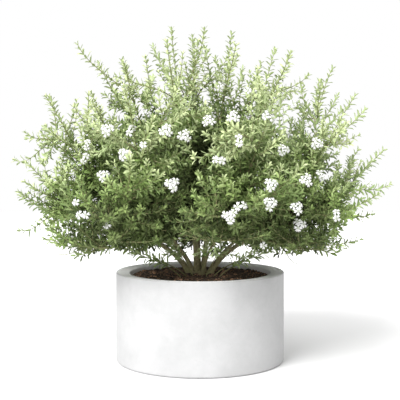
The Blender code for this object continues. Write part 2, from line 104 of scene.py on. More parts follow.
CROWN_SHELLS = ((0.48, 0.72, 0.88), (0.26, 0.54, 0.71), (0.16, 0.38, 0.56), (0.10, 0.25, 0.40))

# Long leaders that make the crown's outline from the front: bearing in degrees and reach from the heart.

LONG_LEADERS = (
    (174, 0.355), (167, 0.447), (158, 0.486), (155, 0.455), (149, 0.520), (146, 0.485),
    (141, 0.526), (138, 0.502), (131, 0.556), (127, 0.506), (123, 0.490), (118, 0.609),
    (110, 0.534), (100, 0.490), (94, 0.500), (89, 0.577), (85, 0.477), (80, 0.532),
    (76, 0.464), (73, 0.492), (69, 0.465), (67, 0.533), (63, 0.481), (61, 0.513),
    (57, 0.577), (49, 0.519), (45, 0.546), (38, 0.477), (34, 0.529), (25, 0.497),
    (17, 0.458), (8, 0.363), (3, 0.250), (143, 0.415), (147, 0.435), (139, 0.440),
    (150, 0.400), (59, 0.425), (55, 0.440), (41, 0.425), (36, 0.410), (30, 0.430),
    (22, 0.415), (46, 0.430), (158, 0.405), (164, 0.385), (152, 0.440),
)

# Ends of the leafy sprays that hang in front of the stems.

FRONT_SPRAYS = (
    (-0.185, -0.140, 0.290), (-0.125, -0.125, 0.268), (-0.065, -0.115, 0.292), (0.018, -0.115, 0.292),
    (0.060, -0.105, 0.300), (0.125, -0.125, 0.272), (0.185, -0.140, 0.290),
)

# Ends of the short twigs that hang from the stems.

HANGING_TWIGS = (
    (-0.012, -0.110, 0.262), (0.034, -0.105, 0.257), (-0.080, -0.115, 0.262), (0.082, -0.115, 0.260),
)

# Ends of the leaders that close the crown's middle in front.

FRONT_LEADERS = (
    (0.000, -0.330, 0.440), (-0.012, -0.320, 0.485), (0.014, -0.310, 0.395), (-0.022, -0.285, 0.535),
    (0.016, -0.275, 0.560), (-0.030, -0.330, 0.375), (0.030, -0.300, 0.500), (-0.055, -0.310, 0.430),
    (-0.062, -0.300, 0.475), (0.048, -0.310, 0.440), (-0.088, -0.300, 0.450), (0.012, -0.300, 0.530),
    (0.010, -0.262, 0.592),
)

# Flower clusters across the front: sideways and up from the ground, and flowers in each.

FRONT_CLUSTERS = (
    (-0.20, 0.63, 1), (-0.15, 0.58, 2), (-0.28, 0.52, 2), (-0.205, 0.53, 3), (-0.176, 0.55, 2),
    (-0.076, 0.556, 3), (-0.043, 0.51, 3), (-0.18, 0.48, 3), (-0.286, 0.463, 2), (-0.248, 0.42, 3),
    (-0.062, 0.392, 4), (-0.13, 0.492, 1), (-0.307, 0.382, 1), (-0.267, 0.363, 2), (-0.24, 0.31, 1),
    (0.043, 0.63, 2), (0.036, 0.58, 3), (0.086, 0.563, 3), (0.10, 0.623, 1), (0.16, 0.547, 3),
    (0.228, 0.589, 1), (0.114, 0.513, 2), (0.048, 0.475, 2), (0.212, 0.492, 3), (0.257, 0.492, 3),
    (0.16, 0.437, 3), (0.252, 0.43, 3), (0.098, 0.378, 2), (0.188, 0.371, 3), (0.298, 0.451, 2),
    (0.412, 0.425, 1), (0.069, 0.34, 4), (0.24, 0.351, 3), (0.219, 0.302, 3), (0.302, 0.335, 2),
    (0.148, 0.275, 1),
)

# The camera: its place, how many degrees it looks down, and its lens in millimetres.

EYE = Vector((0.0, -2.10, 0.478))
EYE_PITCH = 2.65
EYE_LENS = 79.4

# The open space below the crown's front, where the stems show: an oval on the upright plane
# through the middle, and the share of its size over which it fades out.

WINDOW_HALF_WIDTH = 0.108
WINDOW_HALF_HEIGHT = 0.070
WINDOW_HEIGHT = 0.215
WINDOW_BACK = 0.03
WINDOW_FADE = 0.5

# Shoots: radii of their wood, from the frame's leaders to side twigs and tips, and steps of a path.

FRAME_WOOD = 0.0020
SIDE_WOOD = 0.0016
LEADER_WOOD = 0.0014
HANGING_WOOD = 0.0010
TWIG_WOOD = 0.0009
TIP_WOOD = 0.0006
SHOOT_STEPS = 20
TWIG_STEPS = 8

# Where other shoots leave the frame, as shares of the bare wood or of a side shoot.

FORK_SPOTS = (0.55, 0.7, 0.85, 1.0, 1.25, 1.5)
LOW_SPOTS = (0.35, 0.5, 0.65)
SIDE_SPOTS = (0.1, 0.3, 0.5)

# Crumbs made together before they join the rest.

CRUMB_BATCH = 50

# Leaves and flowers.

LEAVES_IN_WHORL = 4
MISSING_LEAVES = 0.08
TENDER_TIP = 0.030
FRESH_TIP = 0.08
# The sprays' leaves are made paler, partly as painted light where they lie in the crown's shade.
SPRAY_PALENESS_AND_LIGHT = 0.60
LEAF_LAYERS = ("age", "tint", "under")
PETALS = ((62, 0.92, 0.95), (118, 0.92, 0.95), (188, 0.98, 1.0), (270, 1.06, 1.1), (352, 0.98, 1.0))
STAMENS = (40, 140, 250, 300)
CLUSTER_BACK = (0.012, 0.024, 0.040, 0.060)
CLUSTER_SEARCH = 0.026
CLUSTER_SPACING = 0.055
CLUSTER_TRIES = 4000
FLOWER_NODES = 12


class Path:
    """A smooth curve that is read by distance, with a side direction that doesn't twist."""

    def __init__(self, points):
        self.points = np.array([tuple(point) for point in points], float)
        steps = np.diff(self.points, axis=0)
        self.distance = np.concatenate([[0.0], np.cumsum(np.linalg.norm(steps, axis=1))])
        self.length = float(self.distance[-1])
        mean = np.vstack([steps[:1], steps[:-1] + steps[1:], steps[-1:]])
        self.heading = mean / np.linalg.norm(mean, axis=1)[:, None]
        across = Vector(self.heading[0]).orthogonal().normalized()
        sides = [across]
        for before, after in zip(self.heading, self.heading[1:]):
            across = Vector(before).rotation_difference(Vector(after)) @ across
            sides.append(across)
        self.sides = np.array([tuple(side) for side in sides])
        self.table = np.hstack([self.points, self.heading, self.sides])

    def cut(self, length):
        """The path as far as a length."""
        kept = int(np.searchsorted(self.distance, length))
        return Path([*self.points[:kept], tuple(self.at(length)[0])])

    def at(self, distance):
        """Place, heading and side direction at a distance."""
        index = int(np.searchsorted(self.distance, distance)) - 1
        index = min(max(index, 0), len(self.distance) - 2)
        span = self.distance[index + 1] - self.distance[index]
        share = (distance - self.distance[index]) / span
        row = self.table[index] * (1 - share) + self.table[index + 1] * share
        heading = Vector(row[3:6]).normalized()
        side = Vector(row[6:9])
        return Vector(row[:3]), heading, (side - heading * side.dot(heading)).normalized()


def share_of(value, start, span):
    """How far a value has come through a span from its start, from 0 to 1."""
    return min(1.0, max(0.0, (value - start) / span))


def placed(place, heading, side):
    """A matrix that stands a shape's Z along a heading and its X to one side."""
    turn = Matrix((side, heading.cross(side), heading)).transposed()
    return Matrix.Translation(place) @ turn.to_4x4()


def bent_path(start, leave, end, arrive, steps=48):
    """A path between two places, with its directions at both ends."""
    reach = (end - start).length / 3
    return Path(interpolate_bezier(start, start + leave * reach, end - arrive * reach, end, steps))


def outline_point(azimuth, level):
    """A place on the shrub's outline, from an azimuth and a level in degrees."""
    turn = math.radians(azimuth)
    tilt = math.radians(level)
    if level >= 0:
        across = math.cos(tilt)
        height = CROWN_WAIST + (CROWN_TOP - CROWN_WAIST) * math.sin(tilt)
    else:
        across = math.cos(tilt) ** UNDERSIDE_FULLNESS
        floor = CROWN_UNDERSIDE + FRONT_LIFT * max(0.0, -math.sin(turn)) ** 2
        height = CROWN_WAIST - (CROWN_WAIST - floor) * math.sin(-tilt) ** UNDERSIDE_FULLNESS
    return Vector((SHRUB_WIDTH / 2 * across * math.cos(turn), SHRUB_DEPTH / 2 * across * math.sin(turn),
                   POT_HEIGHT + height))


def shoot_end(azimuth, level):
    """Where a shoot's wood stops, so that its last leaves end on the outline."""
    tip = outline_point(azimuth, level)
    return tip - (tip - HEART).normalized() * LAST_LEAVES


def shoot_rise(tip):
    """Direction of a shoot at its end: outwards from the root crown, turned up a little."""
    return ((tip - HEART).normalized() + UP * SHOOT_UPTURN).normalized()


def branching(fork, heading, end, pull=1.2, steps=48):
    """A shoot's path from a fork on wood with this heading to the shoot's end."""
    leave = ((end - fork).normalized() * pull + heading).normalized()
    return bent_path(fork, leave, end, shoot_rise(end), steps)


def stem_rings():
    """Distances of the outer and the inner stems' feet from the crown's middle."""
    outer = COLLAR_DIAMETER / 2 - COLLAR_MARGIN - max(size for _, size in OUTER_STEMS) / 2
    thick = max(size for _, size in INNER_STEMS)
    inner = (thick + STEM_SPACING) / math.sqrt(3)
    return outer, inner


def plan_limbs(azimuth, diameter, ring, branches):
    """The trunk of one stem and its two arms."""
    turn = math.radians(azimuth)
    foot = Vector((math.cos(turn) * ring, math.sin(turn) * ring, COLLAR_TOP + GAP))
    ends = [shoot_end(azimuth + offset, level) for offset, level in branches]
    lean = ((ends[0] - foot).normalized() + UP * 1.1).normalized()
    trunk = bent_path(foot, lean, ends[0], shoot_rise(ends[0]))
    limbs = [{"path": trunk, "share": STEM_SHARE, "thick": diameter / 2}]
    for share, end in zip(FORK_SHARES, ends[1:]):
        fork, heading, _ = trunk.at(trunk.length * share)
        thick = diameter / 2 * (1.0 - 0.9 * share)
        limbs.append({"path": branching(fork, heading, end), "share": ARM_SHARE, "thick": thick})
    return limbs


def plan_side_shoots(limb, azimuth, level, chance):
    """The two side shoots of a limb's leafy end."""
    path = limb["path"]
    start = path.length * limb["share"]
    made = []
    for share, (swing, climb) in zip(SIDE_SHOOT_SHARES, SIDE_SHOOT_FANS):
        fork, heading, _ = path.at(start + (path.length - start) * share)
        spread = swing / max(0.3, math.cos(math.radians(level)))
        end = shoot_end(azimuth + spread, min(88, level + climb * chance.uniform(0.8, 1.2)))
        made.append(branching(fork, heading, end, 1.4))
    return made


@functools.cache
def wood():
    """Every stem's limbs with their side shoots."""
    chance = random.Random(SEED)
    outer, inner = stem_rings()
    stems = []
    groups = ((OUTER_STEMS, outer, OUTER_BRANCHES), (INNER_STEMS, inner, INNER_BRANCHES))
    for group, ring, branches in groups:
        for azimuth, diameter in group:
            limbs = plan_limbs(azimuth, diameter, ring, branches)
            for limb, (offset, level) in zip(limbs, branches):
                limb["side_shoots"] = plan_side_shoots(limb, azimuth + offset, level, chance)
            stems.append(limbs)
    return stems


# ---- plan of the crown

class Shoot:
    """A leafy shoot: its branch, its path, its radius, where its leaves start and its vigour.

    A shoot of the frame has its wood drawn from wood_from on; a spray has pale leaves, partly painted light
    against the shade it lies in, and no side twigs.
    """

    def __init__(self, branch, path, radius, leafy_from, vigour, wood_from=0.0, spray=False):
        self.branch = branch
        self.path = path
        self.radius = radius
        self.leafy_from = leafy_from
        self.vigour = vigour
        self.wood_from = wood_from
        self.spray = spray


def depth_in_crown(place):
    """From 0 at the crown's middle to 1 on its outline."""
    waist = POT_HEIGHT + CROWN_WAIST
    tall = CROWN_TOP - CROWN_WAIST if place.z > waist else CROWN_WAIST + 0.02
    return math.sqrt((place.x / SHRUB_WIDTH * 2) ** 2 + (place.y / SHRUB_DEPTH * 2) ** 2
                     + ((place.z - waist) / tall) ** 2)


def paleness_with_painted_light(place):
    """How pale leaves are here, from their age and from painted light and shade: most high up, on the low
    flanks and outside, least deep and low in the crown.
    """
    # Painted light and shade: the outer, high, sunlit and flank terms make leaves paler where light falls
    # and darker where the crown shades them.
    outer = share_of(depth_in_crown(place), 0.38, 0.36)
    high = share_of(place.z, 0.365, 0.13)
    sunlit = share_of(place.z, 0.52, 0.14)
    outer = max(outer, 0.7 * sunlit)
    flank_light = share_of(abs(place.x), 0.26, 0.12) * (1.0 - high)
    return 0.03 + 0.84 * outer * (0.04 + 0.96 * high + 0.55 * flank_light) + 0.28 * sunlit


def seen_from_front(place):
    """Where a place shows on the upright plane through the middle, seen from the front."""
    return EYE + (place - EYE) * (EYE.y / (EYE.y - place.y))


def openness(place):
    """From 0 in the crown to 1 in the open space below its front, where the stems show."""
    if place.y > WINDOW_BACK:
        return 0.0
    shown = seen_from_front(place)
    away = math.hypot(shown.x / WINDOW_HALF_WIDTH, (shown.z - WINDOW_HEIGHT) / WINDOW_HALF_HEIGHT)
    return share_of(1.0 + WINDOW_FADE, away, WINDOW_FADE)


def in_window(place):
    """True in the middle of that open space."""
    return openness(place) == 1.0


def nearest_wood(spots, end, shortest=0.09):
    """The place on the wood that a shoot to this end leaves most naturally."""
    best = None
    least = math.inf
    for branch, place, heading in spots:
        gap = end - place
        reach = gap.length
        if reach < shortest:
            continue
        ahead = heading.dot(gap) / reach
        cost = reach * (1.6 - 0.6 * ahead) + 0.1 * (ahead < 0.3)
        if cost < least:
            least = cost
            best = (branch, place, heading)
    return best


def leader_ends(own, chance):
    """Tips of the leaders that fill the outline between those of the frame."""
    ends = []
    for bearing, reach in LONG_LEADERS:
        turn = math.radians(bearing)
        wander = chance.uniform(-0.10, 0.10)
        reach -= LAST_LEAVES * 0.3
        ends.append((HEART + Vector((math.cos(turn) * reach, wander, math.sin(turn) * reach)), 1.0))
    ends += [(Vector(end), 0.99) for end in FRONT_LEADERS]
    golden = math.pi * (3 - math.sqrt(5))
    lowest = math.sin(math.radians(own.lowest_leader))
    for number, (share, least, most) in enumerate(CROWN_SHELLS):
        count = round(own.leader_count * share)
        for index in range(count):
            azimuth = math.degrees(index * golden) + number * 70
            level = math.degrees(math.asin(1 - (index + 0.5) / count * (1 - lowest)))
            edge_on = abs(math.cos(math.radians(azimuth)))
            steep = max(0.0, math.sin(math.radians(level)))
            reach = chance.uniform(least, most) * (1.0 - 0.02 * edge_on - 0.18 * steep)
            end = HEART + (shoot_end(azimuth, level) - HEART) * reach
            ends.append((end, chance.uniform(0.85, 0.99)))
    return ends


def frame_shoots(chance):
    """The frame's leafy shoots, and the places on its wood where others can leave it."""
    shoots, spots, low_spots = [], [], []
    for stem, limbs in enumerate(wood()):
        for number, limb in enumerate(limbs):
            branch = stem * 3 + number
            path = limb["path"]
            start = path.length * limb["share"]
            shoots.append(Shoot(branch, path, FRAME_WOOD, path.length - 0.20, 1.0, start))
            spots += [(branch, *path.at(start * share)[:2]) for share in FORK_SPOTS]
            low_spots += [(branch, *path.at(start * share)[:2]) for share in LOW_SPOTS]
            for side in limb["side_shoots"]:
                side = side.cut(side.length * chance.uniform(0.74, 0.94))
                if any(in_window(Vector(point)) for point in side.points[24:]):
                    continue
                shoots.append(Shoot(branch, side, SIDE_WOOD, max(0.03, side.length - 0.19), 0.98))
                spots += [(branch, *side.at(side.length * share)[:2]) for share in SIDE_SPOTS]
    return shoots, spots, low_spots


def front_shoots(low_spots):
    """The leafy sprays in front of the stems, and the short twigs that hang from them."""
    shoots = []
    for end in map(Vector, FRONT_SPRAYS):
        branch = nearest_wood(low_spots, end, 0.05)[0]
        foot = Vector((end.x * 0.22, end.y * 0.38, COLLAR_TOP - 0.010))
        away = (end - foot).normalized()
        leave = (away + UP * 0.5).normalized()
        path = bent_path(foot, leave, end, (away + UP * 0.1).normalized(), SHOOT_STEPS)
        shoots.append(Shoot(branch, path, LEADER_WOOD, 0.070, 1.05, spray=True))
    for end in map(Vector, HANGING_TWIGS):
        branch, fork, heading = nearest_wood(low_spots, end, 0.04)
        away = (end - fork).normalized()
        path = bent_path(fork, (away + heading * 0.4).normalized(), end, away, SHOOT_STEPS)
        shoots.append(Shoot(branch, path, HANGING_WOOD, 0.015, 0.95, spray=True))
    return shoots


def plan_leaders(own, chance):
    """Leaders of the frame, then the others, each from the wood nearest to it."""
    shoots, spots, low_spots = frame_shoots(chance)
    tips = [Vector(shoot.path.points[-1]) for shoot in shoots]
    shoots += front_shoots(low_spots)
    for end, vigour in leader_ends(own, chance):
        low = vigour < 1 and end.z < POT_HEIGHT + 0.09 and chance.random() < 0.5
        if low or in_window(end):
            continue
        if vigour < 1 and min((end - tip).length for tip in tips) < own.tip_spacing:
            continue
        branch, fork, heading = nearest_wood(spots, end)
        path = branching(fork, heading, end, steps=SHOOT_STEPS)
        if any(openness(Vector(point)) > 0.6 for point in path.points[14:]):
            continue
        tips.append(end)
        shoots.append(Shoot(branch, path, LEADER_WOOD, max(0.02, path.length - 0.18), vigour))
    return shoots


def plan_side_twigs(leader, own, chance):
    """Side twigs along one leader, shorter towards its tip."""
    made = []
    if leader.spray:
        return made
    path = leader.path
    distance = leader.wood_from or 0.015
    roll = chance.uniform(0, math.tau)
    free_tip = own.free_tip if leader.vigour == 1.0 else own.free_tip * 0.55
    while distance < path.length - free_tip:
        place, heading, side = path.at(distance)
        roll += 2.4 + chance.uniform(-0.5, 0.5)
        out = Quaternion(heading, roll) @ side
        reach = min(chance.uniform(0.050, 0.105), (path.length - distance) * 0.80)
        aim = (heading * chance.uniform(0.8, 1.2) + out * 0.75 + UP * 0.12).normalized()
        end = place + aim * reach
        height = end.z - POT_HEIGHT - own.skirt_height
        kept = min(0.35 + height * 8, 1.0 - max(0.0, end.z - 0.58) * 6)
        if openness(end) < chance.random() and height > 0 and chance.random() < kept:
            leave = (out * 0.9 + heading * 0.6).normalized()
            arrive = (aim + heading * 0.5 + UP * 0.1).normalized()
            twig = bent_path(place, leave, end, arrive, TWIG_STEPS)
            vigour = leader.vigour * chance.uniform(0.8, 1.0)
            made.append(Shoot(leader.branch, twig, TWIG_WOOD, 0.010, vigour))
        distance += own.twig_spacing * chance.uniform(0.7, 1.3)
    return made


@functools.cache
def crown():
    """Every leafy shoot of the shrub."""
    own = settings()
    chance = random.Random(SEED + 1)
    leaders = plan_leaders(own, chance)
    twigs = [twig for leader in leaders for twig in plan_side_twigs(leader, own, chance)]
    return leaders + twigs


# ---- modelling helpers

def add_object(name, data):
    """An object in the scene."""
    made = bpy.data.objects.new(name, data)
    bpy.context.scene.collection.objects.link(made)
    return made


def mesh_of(bm, name, *materials):
    """A mesh made from a bmesh, which is freed."""
    mesh = bpy.data.meshes.new(name)
    bm.to_mesh(mesh)
    bm.free()
    for material in materials:
        mesh.materials.append(material)
    return mesh


def finish_piece(bm, name, material, nodes=(), smooth=True):
    """Turn a bmesh into a piece that rides on the frame and stands for its nodes."""
    piece = add_object(name, mesh_of(bm, name, material))
    if smooth:
        piece.data.shade_smooth()
    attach(piece, "root")
    if nodes:
        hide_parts(*nodes)
    return piece


def gather(target, part):
    """Add a bmesh to another and free it."""
    mesh = mesh_of(part, "part")
    target.from_mesh(mesh)
    bpy.data.meshes.remove(mesh)


def new_part(*layers):
    """An empty bmesh with its named number layers."""
    bm = bmesh.new()
    for name in layers:
        bm.verts.layers.float.new(name)
    return bm


def cone_part(layers, sides, narrow, wide, depth, drop=0.0):
    """A closed cone about Z, lowered by a drop, as a bmesh."""
    bm = new_part(*layers)
    bmesh.ops.create_cone(bm, cap_ends=True, segments=sides, radius1=narrow, radius2=wide, depth=depth)
    bmesh.ops.translate(bm, verts=bm.verts[:], vec=(0, 0, -drop))
    return bm


def spindle_part(layers, across, along):
    """A closed spindle from 0 to 1 along X, as a bmesh."""
    bm = new_part(*layers)
    bmesh.ops.create_uvsphere(bm, u_segments=across, v_segments=along, radius=0.5)
    bmesh.ops.rotate(bm, verts=bm.verts[:], cent=(0, 0, 0), matrix=Matrix.Rotation(math.pi / 2, 3, "Y"))
    bmesh.ops.translate(bm, verts=bm.verts[:], vec=(0.5, 0, 0))
    return bm


def set_layer(bm, name, value):
    """Give one number to every vertex of a bmesh."""
    layer = bm.verts.layers.float[name]
    for vert in bm.verts:
        vert[layer] = value


def rod(path, start, stop, radius_at, sides, spacing, age_at, gnarl=0.0):
    """A closed round rod bent along a stretch of a path, as a bmesh with an age layer."""
    bm = cone_part(("age",), sides, 1.0, 1.0, 1.0)
    age = bm.verts.layers.float["age"]
    rings = max(2, round((stop - start) / spacing))
    uprights = [edge for edge in bm.edges if abs(edge.verts[0].co.z - edge.verts[1].co.z) > 0.5]
    bmesh.ops.subdivide_edges(bm, edges=uprights, cuts=rings - 1)
    levels = {}
    for vert in bm.verts:
        levels.setdefault(round((vert.co.z + 0.5) * rings), []).append(vert)
    for level, verts in levels.items():
        distance = start + (stop - start) * level / rings
        place, heading, side = path.at(max(0.0, distance))
        place += heading * min(0.0, distance)
        stand = placed(place, heading, side)
        radius = radius_at(distance)
        for vert in verts:
            grain = Vector((vert.co.x * 1.3, vert.co.y * 1.3, distance * 60))
            swell = 1.0 + gnarl * (noise.noise(grain) + 0.5 * noise.noise(grain * 3.1))
            vert.co = stand @ Vector((vert.co.x * radius * swell, vert.co.y * radius * swell, 0.0))
            vert[age] = age_at(distance)
    return bm


# ---- materials

class Shader:
    """The node tree of a material or a world, with short names for its nodes."""

    def __init__(self, owner):
        self.owner = owner
        owner.use_nodes = True
        self.tree = owner.node_tree

    def node(self, kind, **values):
        """A node with its settings."""
        made = self.tree.nodes.new(kind)
        for key, value in values.items():
            setattr(made, key, value)
        return made

    def feed(self, socket, value):
        """Give an input a link, a number or a colour."""
        if isinstance(value, bpy.types.NodeSocket):
            self.tree.links.new(value, socket)
        elif isinstance(value, (int, float)):
            socket.default_value = value
        else:
            socket.default_value = (*tuple(value)[:3], 1.0)

    def attribute(self, name):
        """A number kept on the mesh."""
        return self.node("ShaderNodeAttribute", attribute_name=name).outputs["Fac"]

    def place(self):
        """Object coordinates."""
        return self.node("ShaderNodeTexCoord").outputs["Object"]

    def noise(self, scale, detail=4.0, roughness=0.55):
        """A noise value from 0 to 1."""
        made = self.node("ShaderNodeTexNoise")
        for name, value in (("Scale", scale), ("Detail", detail), ("Roughness", roughness)):
            self.feed(made.inputs[name], value)
        self.feed(made.inputs["Vector"], self.place())
        return made.outputs["Fac"]

    def spots(self, scale):
        """Distance to the nearest of scattered points."""
        made = self.node("ShaderNodeTexVoronoi")
        made.inputs["Scale"].default_value = scale
        self.feed(made.inputs["Vector"], self.place())
        return made.outputs["Distance"]

    def ramp(self, value, *stops):
        """A colour ramp from (position, colour) stops."""
        made = self.node("ShaderNodeValToRGB")
        band = made.color_ramp.elements
        while len(band) < len(stops):
            band.new(0.5)
        for element, (position, tone) in zip(band, stops):
            element.position = position
            element.color = (*tuple(tone)[:3], 1.0)
        self.feed(made.inputs["Fac"], value)
        return made.outputs["Color"]

    def mix(self, factor, first, second, blend="MIX"):
        """Mix two colours, each a link or a colour."""
        made = self.node("ShaderNodeMix", data_type="RGBA", blend_type=blend)
        for socket, value in zip((made.inputs[0], made.inputs[6], made.inputs[7]), (factor, first, second)):
            self.feed(socket, value)
        return made.outputs[2]

    def maths(self, operation, first, second):
        """A sum on two values, each a link or a number."""
        made = self.node("ShaderNodeMath", operation=operation)
        self.feed(made.inputs[0], first)
        self.feed(made.inputs[1], second)
        return made.outputs[0]

    def spread(self, value, low, high, start=0.0, stop=1.0):
        """Stretch a value between start and stop to low and high."""
        made = self.node("ShaderNodeMapRange")
        for name, number in (("From Min", start), ("From Max", stop), ("To Min", low), ("To Max", high)):
            self.feed(made.inputs[name], number)
        self.feed(made.inputs["Value"], value)
        return made.outputs["Result"]

    def blot(self, tone, other, value, start=0.0, stop=1.0, high=1.0, low=0.0):
        """Mix another colour into a tone, from low to high as a value goes from start to stop."""
        return self.mix(self.spread(value, low, high, start, stop), tone, other)

    def axes(self, vector):
        """The three numbers of a vector."""
        made = self.node("ShaderNodeSeparateXYZ")
        self.feed(made.inputs["Vector"], vector)
        return [made.outputs[axis] for axis in "XYZ"]

    def bump(self, height, strength, distance):
        """Raise the surface by a height value."""
        made = self.node("ShaderNodeBump")
        made.inputs["Strength"].default_value = strength
        made.inputs["Distance"].default_value = distance
        self.feed(made.inputs["Height"], height)
        self.feed(self.tree.nodes["Principled BSDF"].inputs["Normal"], made.outputs["Normal"])

    def finish(self, tone, roughness, gloss=0.5):
        """Set the surface's colour, roughness and gloss, and give the material."""
        surface = self.tree.nodes["Principled BSDF"].inputs
        for name, value in (("Specular IOR Level", gloss), ("Base Color", tone), ("Roughness", roughness)):
            self.feed(surface[name], value)
        return self.owner


def surface_shader(name):
    """The shader of a new material."""
    return Shader(bpy.data.materials.new(name))


def shade(tone, factor):
    """A colour made lighter or darker."""
    return tuple(min(1.0, value * factor) for value in tuple(tone)[:3])


def concrete_finish(own):
    """Pale cast concrete: cloudy tone, fine grain, air pits darkened with painted shade, and painted light
    on the rim and the inner wall.
    """
    shader = surface_shader("cast_concrete")
    clouds = shader.noise(9.0, 8.0, 0.68)
    fine = shader.noise(60.0, 6.0, 0.65)
    tone = shader.blot(shade(own.concrete, 1.0 - own.mottling), own.concrete, clouds, 0.35, 0.60)
    tone = shader.blot(tone, shade(own.concrete, 0.80), fine, 0.3, 0.75, 0.22)
    x, y, z = shader.axes(shader.place())
    squares = shader.maths("ADD", shader.maths("MULTIPLY", x, x), shader.maths("MULTIPLY", y, y))
    reach = shader.maths("SQRT", squares, 0.0)
    # Painted light: the rim's top and the inner wall above the mix's floor are made paler, against the shade
    # that the crown casts on them.
    inside = shader.spread(reach, 1.0, 0.0, POT_RADIUS - 0.0030, POT_RADIUS - 0.0010)
    rim_light_mask = shader.maths("MULTIPLY", inside, shader.spread(z, 0.0, 1.0, SOIL_FLOOR, SOIL_FLOOR + 0.004))
    tone = shader.mix(rim_light_mask, tone, shader.blot(own.rim_painted_light, own.concrete, fine, high=0.3))
    # Painted shade: the air pits are darkened in their hollows, as well as bumped in.
    pits = shader.spread(shader.spots(160.0), 0.0, 1.0, 0.05, 0.12)
    tone = shader.mix(pits, shade(own.concrete, 0.74), tone)
    grain = shader.maths("MULTIPLY", shader.noise(300.0, 3.0), 0.3)
    shader.bump(shader.maths("ADD", grain, pits), 0.25, 0.0005)
    return shader.finish(tone, shader.spread(fine, 0.70, 0.90))


def soil_finish(own):
    """Dark crumbly potting mix."""
    shader = surface_shader("potting_mix")
    grain = shader.noise(190.0, 6.0, 0.7)
    tone = shader.ramp(grain, (0.32, shade(own.soil, 0.35)), (0.55, own.soil), (0.72, own.bark_chip))
    tone = shader.blot(tone, shade(own.soil, 0.4), shader.noise(60.0, 3.0), 0.3, 0.7, 0.5)
    shader.bump(shader.noise(420.0, 5.0, 0.7), 0.9, 0.002)
    return shader.finish(tone, 0.96)


def crumb_finish(own):
    """Crumbs and bark chips, each of its own tone."""
    shader = surface_shader("soil_crumbs")
    tone = shader.ramp(shader.attribute("tint"), (0.0, shade(own.soil, 0.35)), (0.45, own.soil),
                       (0.80, own.bark_chip), (1.0, shade(own.bark_chip, 2.0)))
    tone = shader.blot(tone, shade(own.soil, 0.4), shader.noise(500.0), 0.3, 0.7, 0.7)
    shader.bump(shader.noise(700.0, 4.0), 0.8, 0.001)
    return shader.finish(tone, 0.95)


def bark_finish(own, name):
    """Grey-brown fissured bark that turns smooth and green on young wood."""
    shader = surface_shader(name)
    fissures = shader.noise(230.0, 6.0, 0.75)
    patches = shader.noise(55.0, 4.0)
    old = shader.ramp(fissures, (0.33, shade(own.bark, 0.3)), (0.52, own.bark), (0.72, shade(own.bark, 1.8)))
    old = shader.blot(old, own.bark_bloom, patches, 0.35, 0.7, 0.6)
    young = shader.blot(own.twig, shade(own.twig, 0.65), patches, 0.3, 0.7)
    tone = shader.mix(shader.attribute("age"), old, young)
    shader.bump(fissures, 0.7, 0.0012)
    return shader.finish(tone, 0.80, 0.2)


def leaf_finish(own):
    """Narrow leaves: dark when old, pale when young, felted beneath; the age layer also carries painted
    light and shade.
    """
    shader = surface_shader("leaf")
    age, tint, under = (shader.attribute(name) for name in LEAF_LAYERS)
    # The ramp's dark end paints shade deep in the crown along with the darkness of old leaves.
    tone = shader.ramp(age, (0.0, own.leaf_old_and_shade), (0.5, own.leaf), (1.0, own.leaf_young))
    tone = shader.blot(tone, own.leaf_yellow, tint, high=0.35)
    tone = shader.blot(tone, own.leaf_old_and_shade, shader.noise(240.0, 3.0), 0.3, 0.75, 0.35)
    tone = shader.blot(tone, shade(own.leaf_young, 0.8), under, 0.0, 0.16, 0.0, 0.35)
    felt = shader.blot(tone, own.leaf_under, age, 0.0, 0.6, 0.45, 0.06)
    tone = shader.blot(tone, felt, under, 0.45, 0.75)
    shader.bump(shader.noise(800.0, 2.0), 0.2, 0.0003)
    return shader.finish(tone, 0.60, 0.15)


def petal_finish(own):
    """White petals with fine veins, a greener and darker base towards the throat that is partly painted
    shade, and small dark specks near the throat.
    """
    shader = surface_shader("petal")
    veins = shader.noise(420.0, 3.0)
    reach = shader.attribute("reach")
    tone = shader.blot(own.petal, shade(own.petal, 0.82), veins, 0.3, 0.7, 0.25)
    # Partly painted shade: the petals darken towards the throat, along with its own pale green.
    tone = shader.blot(tone, own.throat, reach, 0.08, 0.40, 0.0, 0.7)
    specks = shader.spread(shader.spots(800.0), 1.0, 0.0, 0.22, 0.32)
    near = shader.spread(reach, 1.0, 0.0, 0.30, 0.50)
    tone = shader.mix(shader.maths("MULTIPLY", specks, near), tone, own.speck)
    shader.bump(veins, 0.2, 0.0003)
    return shader.finish(tone, 0.55, 0.2)


def floor_finish(own):
    """Plain pale studio floor."""
    shader = surface_shader("studio_floor")
    tone = shader.mix(shader.noise(2.0), own.floor, shade(own.floor, 0.99))
    return shader.finish(tone, 0.9)


# ---- settings

def tone_property(label, text, value):
    """A colour property."""
    return bpy.props.FloatVectorProperty(name=label, description=text, default=value, size=3,
                                         min=0.0, max=1.0, subtype="COLOR")


def length_property(label, text, value):
    """A length property."""
    return bpy.props.FloatProperty(name=label, description=text, default=value, min=0.0001, max=10.0,
                                   precision=4, unit="LENGTH")


def count_property(label, text, value, most):
    """A whole number."""
    return bpy.props.IntProperty(name=label, description=text, default=value, min=0, max=most)


def light_property(label, text, value):
    """A light's strength."""
    return bpy.props.FloatProperty(name=label, description=text, default=value, min=0.0)


